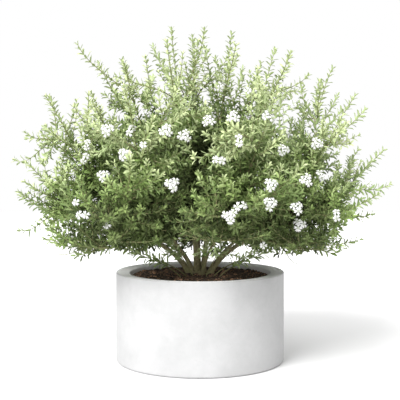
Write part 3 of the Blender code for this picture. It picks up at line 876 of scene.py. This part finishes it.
class RosemarySettings(bpy.types.PropertyGroup):
    """Sizes and colours of the potted shrub."""

    rim_rounding: length_property("Rim rounding", "Radius of the rim's edges", 0.0035)
    foot_rounding: length_property("Foot rounding", "Radius of the planter's lower edge", 0.005)
    mottling: bpy.props.FloatProperty(name="Mottling", description="Depth of the concrete's clouds",
                                      default=0.13, min=0.0, max=1.0, subtype="FACTOR")
    concrete: tone_property("Concrete", "Cast concrete", (0.420, 0.420, 0.422))
    # Painted light: a pale tone for the rim and the inner wall, against the crown's shade.
    rim_painted_light: tone_property("Rim", "Rubbed concrete of the rim", (0.90, 0.90, 0.90))
    soil: tone_property("Potting mix", "Moist potting mix", (0.070, 0.045, 0.026))
    bark_chip: tone_property("Bark chips", "Chips in the potting mix", (0.290, 0.170, 0.100))
    crumb_count: count_property("Crumbs", "Loose crumbs on the mix", 2600, 6000)
    bark: tone_property("Bark", "Old bark", (0.300, 0.260, 0.150))
    bark_bloom: tone_property("Bark bloom", "Greenish bloom on the bark", (0.360, 0.370, 0.170))
    twig: tone_property("Young wood", "Bark of young twigs", (0.20, 0.22, 0.09))
    leaf_length: length_property("Leaf length", "Length of a full leaf", 0.0198)
    leaf_width: length_property("Leaf width", "Width of a full leaf", 0.0066)
    whorl_spacing: length_property("Whorl spacing", "Distance between whorls of leaves", 0.0132)
    leader_count: count_property("Leaders", "Leading shoots tried between the frame's", 1150, 1500)
    lowest_leader: bpy.props.FloatProperty(name="Lowest leader", default=-24.0, min=-80.0, max=0.0,
                                           description="Level of the lowest leading shoots, in degrees")
    tip_spacing: length_property("Tip spacing", "Least distance between shoot tips", 0.030)
    twig_spacing: length_property("Twig spacing", "Distance between side twigs", 0.024)
    skirt_height: length_property("Skirt height", "Height of the lowest side twigs above the rim", 0.066)
    free_tip: length_property("Free tip", "Length of a shoot's end without side twigs", 0.110)
    # Partly painted shade: this nearly black tone of leaves deep in the crown stands in for the shade there
    # as well as their age.
    leaf_old_and_shade: tone_property("Old leaf", "Leaves deep in the crown", (0.012, 0.024, 0.004))
    leaf: tone_property("Leaf", "Full leaves", (0.185, 0.285, 0.070))
    leaf_young: tone_property("Young leaf", "Leaves at the tips", (0.54, 0.61, 0.34))
    leaf_yellow: tone_property("Yellow leaf", "The yellowest leaves", (0.38, 0.45, 0.18))
    leaf_under: tone_property("Leaf underside", "Felt under the leaves", (0.32, 0.42, 0.20))
    petal: tone_property("Petal", "Petals", (0.63, 0.63, 0.62))
    # Partly painted shade: the throat colour also darkens the petals' bases where shade falls.
    throat: tone_property("Throat", "Pale green throat of a flower", (0.36, 0.42, 0.26))
    speck: tone_property("Speck", "Specks in the throat", (0.25, 0.18, 0.28))
    flower_size: length_property("Flower", "Diameter of a flower", 0.0198)
    back_clusters: count_property("Back clusters", "Flower clusters on the sides and back", 44, 200)
    floor: tone_property("Floor", "Studio floor", (0.69, 0.69, 0.69))
    floor_radius: length_property("Floor radius", "Radius of the studio floor", 6.0)
    key_light: light_property("Key light", "Strength of the soft key light", 4.9)
    even_light: light_property("Even light", "Strength of the light from all round", 0.95)
    top_light: light_property("Top light", "Strength of the light from overhead", 1.50)


def settings():
    """The settings of the open scene."""
    return bpy.context.scene.rosemary


# ---- planter and potting mix

def corner(r, z, radius, start, stop, steps=6):
    """Profile points (r, z) round a corner, from one angle in degrees to another."""
    turns = [math.radians(start + (stop - start) * step / steps) for step in range(steps + 1)]
    return [(r + radius * math.cos(turn), z + radius * math.sin(turn)) for turn in turns]


def turned(profile, steps, closed):
    """A profile of (r, z) points spun about the Z axis, as a bmesh."""
    bm = bmesh.new()
    verts = [bm.verts.new((radius, 0.0, height)) for radius, height in profile]
    edges = [bm.edges.new(pair) for pair in zip(verts, verts[1:])]
    if closed:
        edges.append(bm.edges.new((verts[-1], verts[0])))
    bmesh.ops.spin(bm, geom=verts + edges, axis=UP, cent=(0, 0, 0), steps=steps, angle=math.tau,
                   use_merge=True)
    bmesh.ops.remove_doubles(bm, verts=bm.verts[:], dist=1e-6)
    bmesh.ops.recalc_face_normals(bm, faces=bm.faces[:])
    return bm


class ROSEMARY_OT_planter(bpy.types.Operator):
    """Cast the concrete planter"""

    bl_idname = "rosemary.planter"
    bl_label = "Planter"

    def execute(self, context):
        own = settings()
        inner = SOIL_RADIUS + GAP
        floor = SOIL_FLOOR - GAP
        rim = own.rim_rounding
        foot = own.foot_rounding
        rim_fall = 0.0025
        hole = 0.015
        wall_rings = 12
        profile = corner(inner + rim, POT_HEIGHT - rim_fall - rim, rim, 180, 90)
        profile += corner(POT_RADIUS - rim, POT_HEIGHT - rim, rim, 90, 0)
        for ring in range(1, wall_rings):
            share = ring / wall_rings
            profile.append((POT_RADIUS, (POT_HEIGHT - rim) * (1 - share) + foot * share))
        profile += corner(POT_RADIUS - foot, foot, foot, 0, -90)
        profile += [(hole, 0.0), (hole, floor), (inner, floor)]
        bm = turned(profile, 192, True)
        piece = finish_piece(bm, "planter", concrete_finish(own), ["pot"])
        piece.data.set_sharp_from_angle(angle=math.radians(40))
        return {"FINISHED"}


def soil_surface(x, y):
    """Height of the potting mix: a low mound with lumps."""
    reach = min(1.0, math.hypot(x, y) / SOIL_RADIUS)
    mound = POT_HEIGHT - 0.013 + 0.006 * math.cos(reach * math.pi / 2) ** 2
    place = Vector((x, y, 0.0))
    lumps = 0.0035 * noise.noise(place * 45) + 0.0022 * noise.noise(place * 130)
    return mound + lumps + 0.0013 * noise.noise(place * 330)


def scattered_crumbs(own):
    """Loose crumbs and bark chips on the potting mix, as a bmesh."""
    chance = random.Random(SEED + 5)
    whole = new_part("tint")
    batch = new_part("tint")
    for index in range(own.crumb_count):
        tint = batch.verts.layers.float["tint"]
        reach = SOIL_RADIUS * 0.985 * math.sqrt(chance.random())
        turn = chance.uniform(0, math.tau)
        x = reach * math.cos(turn)
        y = reach * math.sin(turn)
        long = chance.uniform(0.0014, 0.0032) * (1.8 if chance.random() < 0.15 else 1.0)
        grow = Matrix.Diagonal((long * chance.uniform(0.8, 1.6), long, long * chance.uniform(0.4, 0.8), 1.0))
        spin = Matrix.Rotation(chance.uniform(0, math.tau), 4, "Z")
        spin = spin @ Matrix.Rotation(chance.uniform(-0.7, 0.7), 4, "X")
        place = Matrix.Translation((x, y, soil_surface(x, y) + long * 0.25))
        made = bmesh.ops.create_icosphere(batch, subdivisions=1, radius=1.0)["verts"]
        tone = chance.random()
        for vert in made:
            vert.co *= chance.uniform(0.7, 1.15)
            vert[tint] = tone
        bmesh.ops.transform(batch, matrix=place @ spin @ grow, verts=made)
        if index % CRUMB_BATCH == CRUMB_BATCH - 1:
            gather(whole, batch)
            batch = new_part("tint")
    gather(whole, batch)
    return whole


class ROSEMARY_OT_potting_mix(bpy.types.Operator):
    """Fill the planter with potting mix and scatter its crumbs"""

    bl_idname = "rosemary.potting_mix"
    bl_label = "Potting mix"

    def execute(self, context):
        own = settings()
        rings = 64
        top = POT_HEIGHT
        profile = [(SOIL_RADIUS * ring / rings, top) for ring in range(rings + 1)]
        profile += [(SOIL_RADIUS, SOIL_FLOOR), (0.0, SOIL_FLOOR)]
        bm = turned(profile, 180, False)
        for vert in bm.verts:
            if vert.co.z > top - 0.001:
                vert.co.z = soil_surface(vert.co.x, vert.co.y)
        finish_piece(bm, "potting_mix_fill", soil_finish(own), ["potting_mix"])
        finish_piece(scattered_crumbs(own), "soil_crumbs", crumb_finish(own), smooth=False)
        return {"FINISHED"}


# ---- wood

def limb_radius(limb, distance):
    """Radius of a limb at a distance: a flared foot, then a long taper."""
    share = min(1.0, max(0.0, distance) / limb["path"].length / 0.92)
    flare = 1.0 + 0.35 * math.exp(-max(0.0, distance) / 0.014)
    return 0.0009 + (limb["thick"] * flare - 0.0009) * (1.0 - share) ** 1.35


def stem_age(distance):
    """How young a stem's bark is at a distance from its foot."""
    return 0.5 * max(0.0, distance - 0.08) / 0.2


def twig_radius(shoot, distance):
    """Radius of a shoot's wood at a distance."""
    return TIP_WOOD + (shoot.radius - TIP_WOOD) * (1 - distance / shoot.path.length)


def twig_age(shoot, distance):
    """How young a shoot's bark is at a distance."""
    return min(1.0, 0.35 + 0.65 * distance / shoot.path.length)


class ROSEMARY_OT_root_crown(bpy.types.Operator):
    """Shape the woody collar at the soil line"""

    bl_idname = "rosemary.root_crown"
    bl_label = "Root crown"

    def execute(self, context):
        own = settings()
        bm = new_part("age")
        bmesh.ops.create_icosphere(bm, subdivisions=5, radius=1.0)
        for vert in bm.verts:
            swell = 1.0 + 0.20 * noise.noise(vert.co * 2.2) + 0.09 * noise.noise(vert.co * 7)
            wide = COLLAR_DIAMETER / 2 * 0.97 * swell
            height = vert.co.z * 0.016 * swell + COLLAR_TOP - 0.0135
            vert.co = Vector((vert.co.x * wide, vert.co.y * wide, height))
        finish_piece(bm, "root_collar", bark_finish(own, "root_bark"), ["root_crown"])
        return {"FINISHED"}


class ROSEMARY_OT_stems(bpy.types.Operator):
    """Grow the woody stems and their arms"""

    bl_idname = "rosemary.stems"
    bl_label = "Stems"

    def execute(self, context):
        finish = bark_finish(settings(), "stem_bark")
        for number, limbs in enumerate(wood()):
            bm = new_part("age")
            for index, limb in enumerate(limbs):
                stop = limb["path"].length * limb["share"]
                start = 0.0 if index else -0.012
                radius_at = functools.partial(limb_radius, limb)
                gather(bm, rod(limb["path"], start, stop, radius_at, 12, 0.005, stem_age, 0.16))
            name = f"{number + 1:02d}"
            finish_piece(bm, "stem_wood_" + name, finish, ["stem_" + name])
        return {"FINISHED"}


class ROSEMARY_OT_twigs(bpy.types.Operator):
    """Grow the young wood that carries the leaves"""

    bl_idname = "rosemary.twigs"
    bl_label = "Twigs"

    def execute(self, context):
        finish = bark_finish(settings(), "young_bark")
        limbs = [limb for stem in wood() for limb in stem]
        for stem in range(len(wood())):
            bm = new_part("age")
            for shoot in crown():
                if shoot.branch // 3 != stem:
                    continue
                radius_at = functools.partial(twig_radius, shoot)
                if shoot.wood_from:
                    radius_at = functools.partial(limb_radius, limbs[shoot.branch])
                sides = 6 if shoot.radius > HANGING_WOOD else 4
                stop = shoot.path.length - 0.004
                age_at = functools.partial(twig_age, shoot)
                gather(bm, rod(shoot.path, shoot.wood_from, stop, radius_at, sides, 0.016, age_at))
            finish_piece(bm, f"twigs_{stem + 1:02d}", finish)
        return {"FINISHED"}


# ---- leaves

def leaf_shape(own):
    """One leaf of unit length along X, its upper face up, as a bmesh."""
    bm = spindle_part(LEAF_LAYERS, 4, 3)
    under = bm.verts.layers.float["under"]
    wide = own.leaf_width / own.leaf_length
    for vert in bm.verts:
        vert[under] = 0.5 - 0.5 * math.copysign(1.0, vert.co.z) if abs(vert.co.z) > 0.01 else 0.5
        share = vert.co.x
        vert.co.y *= wide
        vert.co.z *= 0.045
        vert.co.z += 0.30 * abs(vert.co.y) + 0.45 * (0.25 - (share - 0.5) ** 2) - 0.08
    for edge in bm.edges:
        first, second = edge.verts
        edge.smooth = abs(first.co.x - second.co.x) <= 0.05
    return bm


def leaf_age_and_light(shoot, place, left, young, chance):
    """Age value of a leaf with painted light and shade in it, from 0 for the oldest and most shaded to 1 for
    the palest.
    """
    fresh = 0.22 * max(0.0, 1 - left / FRESH_TIP) + 0.22 * young
    pale = SPRAY_PALENESS_AND_LIGHT if shoot.spray else paleness_with_painted_light(place)
    wander = chance.uniform(-0.30, 0.30) * (0.35 + 0.65 * pale)
    return min(1.0, max(0.0, pale * (1.0 + 1.1 * fresh) + 0.28 * fresh + wander))


def whorls(own, shape, shoot, chance):
    """All leaves of one shoot, as a bmesh, each a copy of the leaf's shape."""
    bm = shape.copy()
    age, tint = (bm.verts.layers.float[name] for name in ("age", "tint"))
    first = bm.verts[:]
    pattern = first + bm.edges[:] + bm.faces[:]
    path = shoot.path
    distance = max(0.0, shoot.leafy_from)
    roll = chance.uniform(0, math.tau)
    while distance < path.length - 0.002:
        left = path.length - distance
        place, heading, side = path.at(distance)
        young = max(0.0, 1.0 - left / TENDER_TIP)
        roll += math.pi / 4 + chance.uniform(-0.15, 0.15)
        for leaf in range(LEAVES_IN_WHORL):
            if left > 0.05 and chance.random() < MISSING_LEAVES:
                continue
            turn = roll + leaf * math.pi / 2 + chance.uniform(-0.25, 0.25)
            tilt = math.radians(chance.uniform(48, 74) - 32 * young)
            out = Quaternion(heading, turn) @ side
            along = heading * math.cos(tilt) + out * math.sin(tilt)
            face = heading * math.sin(tilt) - out * math.cos(tilt)
            grow = own.leaf_length * shoot.vigour * chance.uniform(0.78, 1.08) * (1 - 0.35 * young)
            hangs = place.z < POT_HEIGHT + 0.042 + 0.060 * chance.random() ** 3
            middle = place + along * grow * 0.7
            if not shoot.spray and (hangs or openness(middle) > chance.uniform(0.4, 1.1)):
                continue
            stand = Matrix((along, face.cross(along), face)).transposed().to_4x4()
            matrix = Matrix.Translation(place) @ stand
            matrix = matrix @ Matrix.Rotation(chance.uniform(-0.35, 0.35), 4, "X")
            made = bmesh.ops.duplicate(bm, geom=pattern)["geom"]
            verts = [item for item in made if isinstance(item, bmesh.types.BMVert)]
            bmesh.ops.transform(bm, matrix=matrix @ Matrix.Scale(grow, 4), verts=verts)
            # The age layer holds the leaf's age together with painted light and shade.
            age_and_light = leaf_age_and_light(shoot, place, left, young, chance)
            hue = chance.random()
            for vert in verts:
                vert[age] = age_and_light
                vert[tint] = hue
        distance += own.whorl_spacing * chance.uniform(0.85, 1.15) * (1 - 0.45 * young)
    bmesh.ops.delete(bm, geom=first, context="VERTS")
    return bm


class ROSEMARY_OT_foliage(bpy.types.Operator):
    """Set whorls of leaves on every shoot"""

    bl_idname = "rosemary.foliage"
    bl_label = "Foliage"

    def execute(self, context):
        own = settings()
        finish = leaf_finish(own)
        chance = random.Random(SEED + 2)
        shape = leaf_shape(own)
        for branch in range(3 * len(wood())):
            bm = new_part(*LEAF_LAYERS)
            for shoot in crown():
                if shoot.branch == branch:
                    gather(bm, whorls(own, shape, shoot, chance))
            name = f"{branch + 1:02d}"
            finish_piece(bm, "foliage_" + name, finish, ["leafy_branch_" + name])
        shape.free()
        return {"FINISHED"}


# ---- flowers

def petal_part(long, wide, notch):
    """One notched petal along X from its claw, as a bmesh."""
    bm = spindle_part(("reach",), 8, 5)
    reach = bm.verts.layers.float["reach"]
    for vert in bm.verts:
        share = vert.co.x
        vert[reach] = share
        flare = 0.35 + 1.05 * share
        middle = max(0.0, 1 - abs(vert.co.y) * 5)
        vert.co.x -= notch * middle * max(0.0, share - 0.6) / 0.4
        vert.co.y *= flare
        bow = vert.co.z * 0.05 + 0.10 * math.sin(share * math.pi) - 0.16 * share ** 2
        vert.co.z = bow - 0.35 * vert.co.y ** 2
        vert.co = Vector((vert.co.x * long, vert.co.y * wide, vert.co.z * long))
    return bm


def flower_part(own):
    """One flower that faces +Z, its throat at the origin, as a bmesh."""
    bm = new_part("reach")
    size = own.flower_size / 2
    for turn, long, wide in PETALS:
        petal = petal_part(size * long, size * wide * 0.66, 0.30)
        matrix = Matrix.Rotation(math.radians(turn), 4, "Z") @ Matrix.Translation((size * 0.06, 0, 0))
        bmesh.ops.transform(petal, matrix=matrix, verts=petal.verts[:])
        gather(bm, petal)
    gather(bm, cone_part(("reach",), 8, size * 0.14, size * 0.24, size * 0.6, size * 0.30))
    for turn in STAMENS:
        stamen = new_part("reach")
        bmesh.ops.create_icosphere(stamen, subdivisions=1, radius=size * 0.055)
        spot = Matrix.Rotation(math.radians(turn), 4, "Z") @ Vector((size * 0.15, 0, size * 0.12))
        bmesh.ops.translate(stamen, verts=stamen.verts[:], vec=spot)
        set_layer(stamen, "reach", 0.2)
        gather(bm, stamen)
    return bm


def calyx_part(own):
    """The green cup behind a flower, as a bmesh."""
    size = own.flower_size / 2
    bm = cone_part(LEAF_LAYERS, 6, size * 0.10, size * 0.26, size * 0.55, size * 0.55)
    set_layer(bm, "age", 0.7)
    return bm


def stalk_part(own, place, spot, face):
    """The thin stalk from the shoot to the back of a flower, as a bmesh."""
    cup = spot - face * own.flower_size * 0.35
    stalk = cone_part((), 4, 0.0004, 0.0005, (cup - place).length)
    along = (cup - place).normalized()
    matrix = placed((cup + place) / 2, along, along.orthogonal().normalized())
    bmesh.ops.transform(stalk, matrix=matrix, verts=stalk.verts[:])
    return stalk


def cluster_spots(own, chance):
    """For each flower cluster: its place on a shoot, the way it looks and its number of flowers."""
    points = []
    for shoot in crown():
        path = shoot.path
        for back in CLUSTER_BACK:
            if path.length > back + 0.01 and shoot.radius < SIDE_WOOD:
                place, heading, _ = path.at(path.length - back)
                points.append((place, heading, seen_from_front(place)))
    spots = []
    for x, z, count in FRONT_CLUSTERS:
        near = [point for point in points
                if (point[2].x - x) ** 2 + (point[2].z - z) ** 2 < CLUSTER_SEARCH ** 2]
        if near:
            place, heading, _ = min(near, key=lambda point: point[0].y)
            spots.append((place, Vector((0, -1, 0.25)) + heading * 0.25, count))
    taken = [spot[0] for spot in spots]
    tries = 0
    while len(spots) < len(FRONT_CLUSTERS) + own.back_clusters and tries < CLUSTER_TRIES:
        tries += 1
        place, heading, _ = points[chance.randrange(len(points))]
        out = place - HEART - UP * 0.1
        if place.y < 0.02 or not 0.70 < depth_in_crown(place) < 0.92:
            continue
        if min((place - other).length for other in taken) < CLUSTER_SPACING:
            continue
        taken.append(place)
        spots.append((place, out.normalized() + heading * 0.3, chance.choice((1, 2, 2, 3, 3, 4))))
    return spots


class ROSEMARY_OT_flowers(bpy.types.Operator):
    """Open clusters of white flowers near the shoot tips"""

    bl_idname = "rosemary.flowers"
    bl_label = "Flowers"

    def execute(self, context):
        own = settings()
        chance = random.Random(SEED + 3)
        flower = mesh_of(flower_part(own), "flower_shape")
        calyx = mesh_of(calyx_part(own), "calyx_shape")
        petals = new_part("reach")
        cups = new_part(*LEAF_LAYERS)
        for place, look, count in cluster_spots(own, chance):
            look = look.normalized()
            side = look.orthogonal().normalized()
            first = chance.uniform(0, math.tau)
            for number in range(count):
                central = count == 1 or (count == 4 and number == 0)
                lean = 0.0 if central else 0.45
                around = Quaternion(look, first + number * math.tau / min(count, 3)) @ side
                face = (look + around * lean * chance.uniform(0.7, 1.3)).normalized()
                spread = own.flower_size * (0.0 if central else 0.24 + 0.06 * count)
                spot = place + look * own.flower_size * 0.95 + around * spread
                stand = placed(spot, face, face.orthogonal().normalized())
                matrix = stand @ Matrix.Rotation(chance.uniform(0, math.tau), 4, "Z")
                matrix = matrix @ Matrix.Scale(chance.uniform(0.85, 1.08), 4)
                gather(cups, stalk_part(own, place, spot, face))
                for target, mesh in ((petals, flower), (cups, calyx)):
                    part = bmesh.new()
                    part.from_mesh(mesh)
                    bmesh.ops.transform(part, matrix=matrix, verts=part.verts[:])
                    gather(target, part)
        nodes = [f"flower_{number + 1:02d}" for number in range(FLOWER_NODES)]
        finish_piece(petals, "flowers", petal_finish(own), nodes)
        finish_piece(cups, "flower_cups", bpy.data.materials["leaf"])
        return {"FINISHED"}


# ---- stage

class ROSEMARY_OT_stage(bpy.types.Operator):
    """Set the floor, the lights and the camera"""

    bl_idname = "rosemary.stage"
    bl_label = "Stage"

    def execute(self, context):
        own = settings()
        bm = bmesh.new()
        bmesh.ops.create_circle(bm, cap_ends=True, segments=96, radius=own.floor_radius)
        bmesh.ops.translate(bm, verts=bm.verts[:], vec=(0, 0, -0.0005))
        add_object("studio_floor", mesh_of(bm, "studio_floor", floor_finish(own)))
        self.light(own, context.scene)
        lens = bpy.data.cameras.new("camera")
        lens.lens = EYE_LENS
        camera = add_object("camera", lens)
        camera.location = EYE
        camera.rotation_euler = (math.radians(90 - EYE_PITCH), 0.0, 0.0)
        context.scene.camera = camera
        return {"FINISHED"}

    def light(self, own, scene):
        """One broad soft light from the front left, and even light that grows towards overhead."""
        lamp = bpy.data.lights.new("key_light", "SUN")
        lamp.energy = own.key_light
        lamp.angle = math.radians(32)
        key = add_object("key_light", lamp)
        key.rotation_euler = Vector((-0.52, -0.74, 0.70)).to_track_quat("Z", "Y").to_euler()
        scene.world = bpy.data.worlds.new("studio")
        shader = Shader(scene.world)
        height = shader.axes(shader.node("ShaderNodeTexCoord").outputs["Generated"])[2]
        around = shader.spread(height, own.even_light, own.top_light)
        seen = shader.node("ShaderNodeLightPath").outputs["Is Camera Ray"]
        background = shader.tree.nodes["Background"].inputs
        shader.feed(background["Color"], (1.0, 1.0, 1.0))
        shader.feed(background["Strength"], shader.spread(seen, around, 1.0))
        scene.view_settings.view_transform = "Standard"


# ---- panel and registration

STEPS = (ROSEMARY_OT_planter, ROSEMARY_OT_potting_mix, ROSEMARY_OT_root_crown, ROSEMARY_OT_stems,
         ROSEMARY_OT_twigs, ROSEMARY_OT_foliage, ROSEMARY_OT_flowers, ROSEMARY_OT_stage)


class ROSEMARY_PT_panel(bpy.types.Panel):
    """Lists the steps and the settings"""

    bl_idname = "ROSEMARY_PT_panel"
    bl_label = "Coast Rosemary"
    bl_space_type = "VIEW_3D"
    bl_region_type = "UI"
    bl_category = "Rosemary"

    def draw(self, context):
        for step in STEPS:
            self.layout.operator(step.bl_idname)
        for name in RosemarySettings.__annotations__:
            self.layout.prop(context.scene.rosemary, name)


CLASSES = (RosemarySettings, *STEPS, ROSEMARY_PT_panel)


def register():
    """Add the settings, the operators and the panel."""
    for each in CLASSES:
        bpy.utils.register_class(each)
    bpy.types.Scene.rosemary = bpy.props.PointerProperty(type=RosemarySettings)


def unregister():
    """Take the settings, the operators and the panel away."""
    del bpy.types.Scene.rosemary
    for each in reversed(CLASSES):
        bpy.utils.unregister_class(each)


def main():
    """Build every piece and the stage."""
    register()
    for step in STEPS:
        group, name = step.bl_idname.split(".")
        getattr(getattr(bpy.ops, group), name)()


if __name__ == "__main__":
    main()
